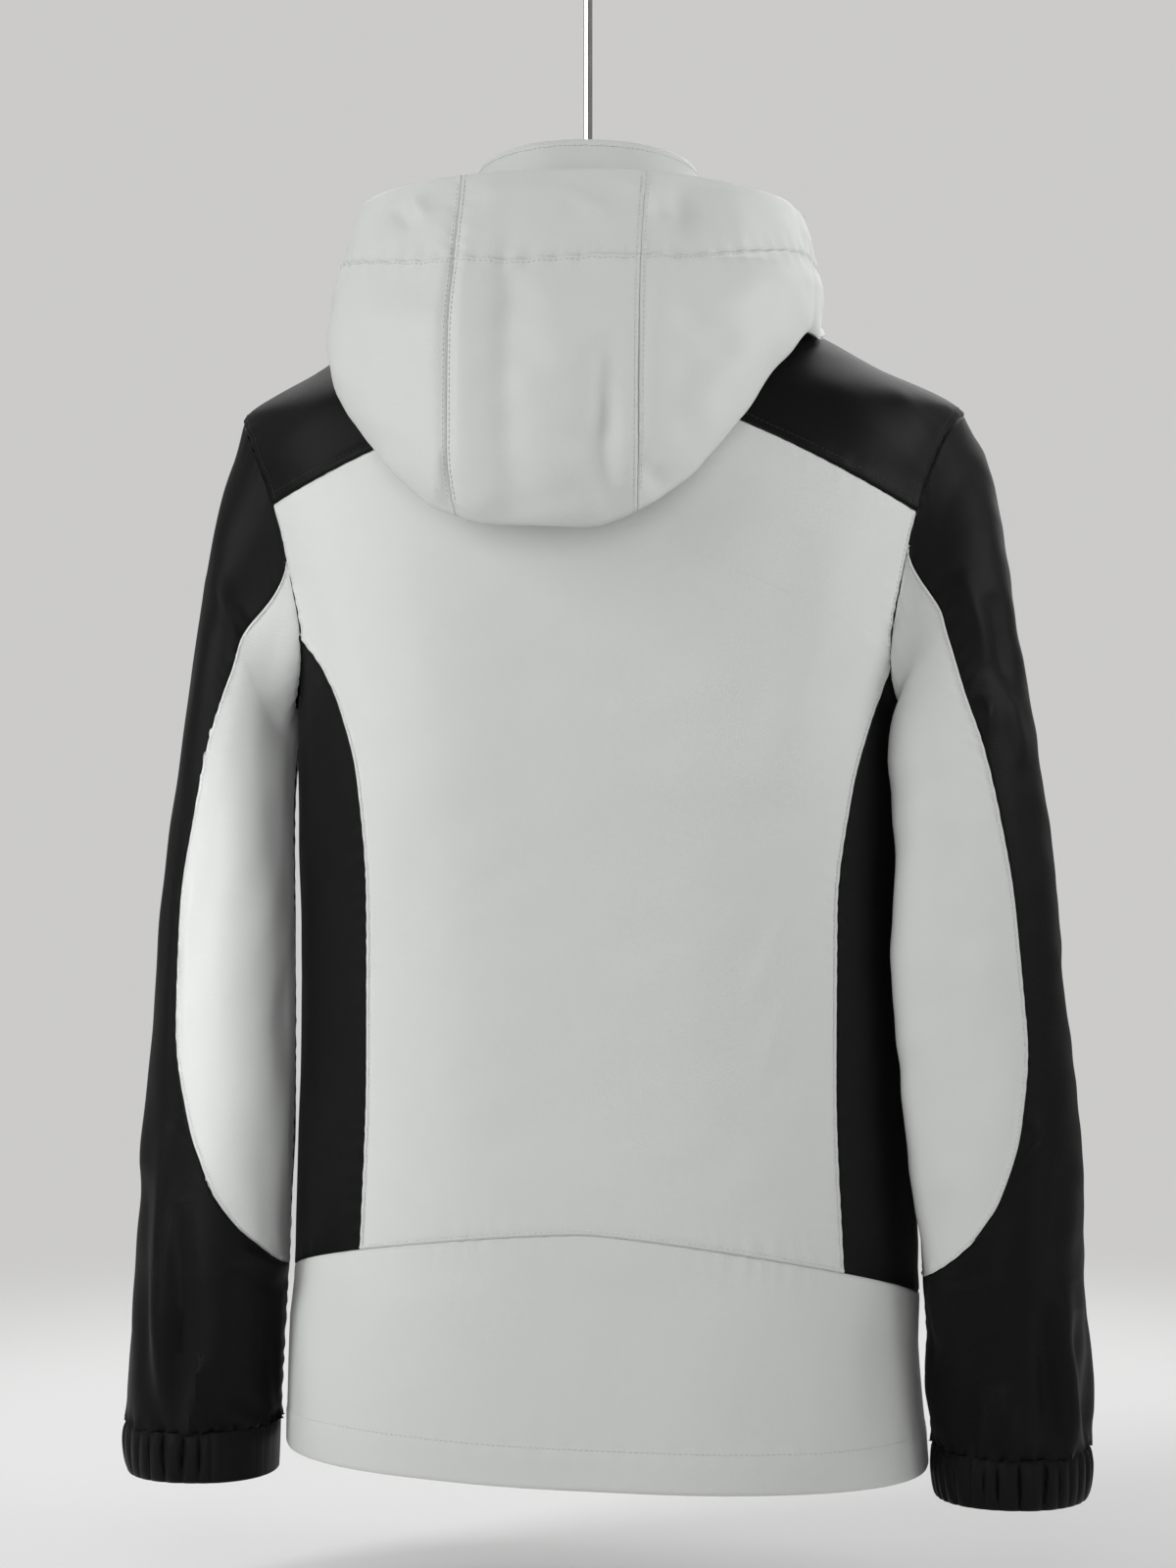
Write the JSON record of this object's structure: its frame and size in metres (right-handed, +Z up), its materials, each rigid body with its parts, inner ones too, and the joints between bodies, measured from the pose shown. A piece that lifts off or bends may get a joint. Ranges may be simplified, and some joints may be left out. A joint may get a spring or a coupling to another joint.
{
  "type": "three-in-one waterproof jacket on a hanger rod",
  "caption": "Hip-length hooded outdoor jacket with a stand collar, black shoulder yoke, side panels and sleeves on pale cloth, elastic cuffs and a front zip, filled out on a steel hanger rod.",
  "frame": {"origin": "the inside top of the hook, where it rests on a rail", "axes": "+Z up, -Y the wearer's front, +X the wearer's left"},
  "size_m": [0.5884, 0.3148, 0.9666],
  "materials": {
    "pale_cloth": "satin",
    "black_cloth": "satin",
    "cuff_cloth": "matte",
    "zip_tape": "matte",
    "zip_metal": "satin",
    "hanger_steel": "satin"
  },
  "bodies": {
    "jacket": {"back_panel": "pale_cloth", "hem_panel": "pale_cloth", "front_left": "pale_cloth", "front_right": "pale_cloth", "sleeve_leaf_left": "pale_cloth", "sleeve_leaf_right": "pale_cloth", "collar": "pale_cloth", "hood_centre": "pale_cloth", "hood_side_left": "pale_cloth", "hood_side_right": "pale_cloth", "back_yoke": "black_cloth", "side_panel_left": "black_cloth", "side_panel_right": "black_cloth", "sleeve_left": "black_cloth", "sleeve_right": "black_cloth", "cuff_left": "cuff_cloth", "cuff_right": "cuff_cloth", "front_zip": "zip_tape", "zip_slider": "zip_metal", "hanger_rod": "hanger_steel", "hanger_arms": "hanger_steel"},
    "tab": {"zip_tab": "zip_metal"}
  },
  "joints": [
    {"name": "tab_hinge", "type": "hinge", "parent": "jacket", "child": "tab", "pos_m": [-0.00058, -0.0746, -0.1809], "axis": [-1, 0, 0], "range_deg": [0, 150]}
  ]
}
